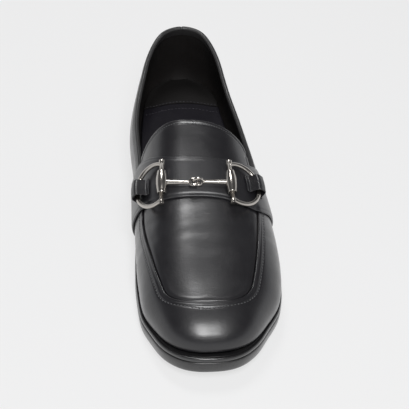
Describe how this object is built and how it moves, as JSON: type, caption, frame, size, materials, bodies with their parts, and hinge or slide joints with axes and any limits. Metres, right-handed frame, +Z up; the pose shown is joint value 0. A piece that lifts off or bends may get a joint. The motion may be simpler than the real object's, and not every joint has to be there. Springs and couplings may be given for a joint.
{
  "type": "bit loafer",
  "caption": "Left black leather slip-on loafer with moccasin apron, saddle strap, metal snaffle bit in D rings, welted leather sole and low stacked heel",
  "frame": {"origin": "on the floor, under the middle of the whole shoe", "axes": "+Y from toe to heel along the shoe, +X to the outer (lateral) side of the left foot, +Z up"},
  "size_m": [0.1022, 0.2982, 0.0911],
  "materials": {
    "upper_leather": "smooth black box calf, polished, fine grain and soft creases",
    "sole_leather": "black inked and waxed sole edge, satin",
    "heel_rubber": "matt black rubber",
    "lining_leather": "soft matt black lining leather",
    "bit_metal": "polished dark gunmetal plating"
  },
  "bodies": {
    "root": {"upper": "upper_leather", "tongue": "upper_leather", "saddle_strap": "upper_leather", "keeper_lateral": "upper_leather", "keeper_medial": "upper_leather", "outsole": "sole_leather", "welt": "sole_leather", "heel_block": "sole_leather", "heel_top_piece": "heel_rubber", "insole": "lining_leather", "bit_half_lateral": "bit_metal", "bit_half_medial": "bit_metal"}
  },
  "joints": []
}
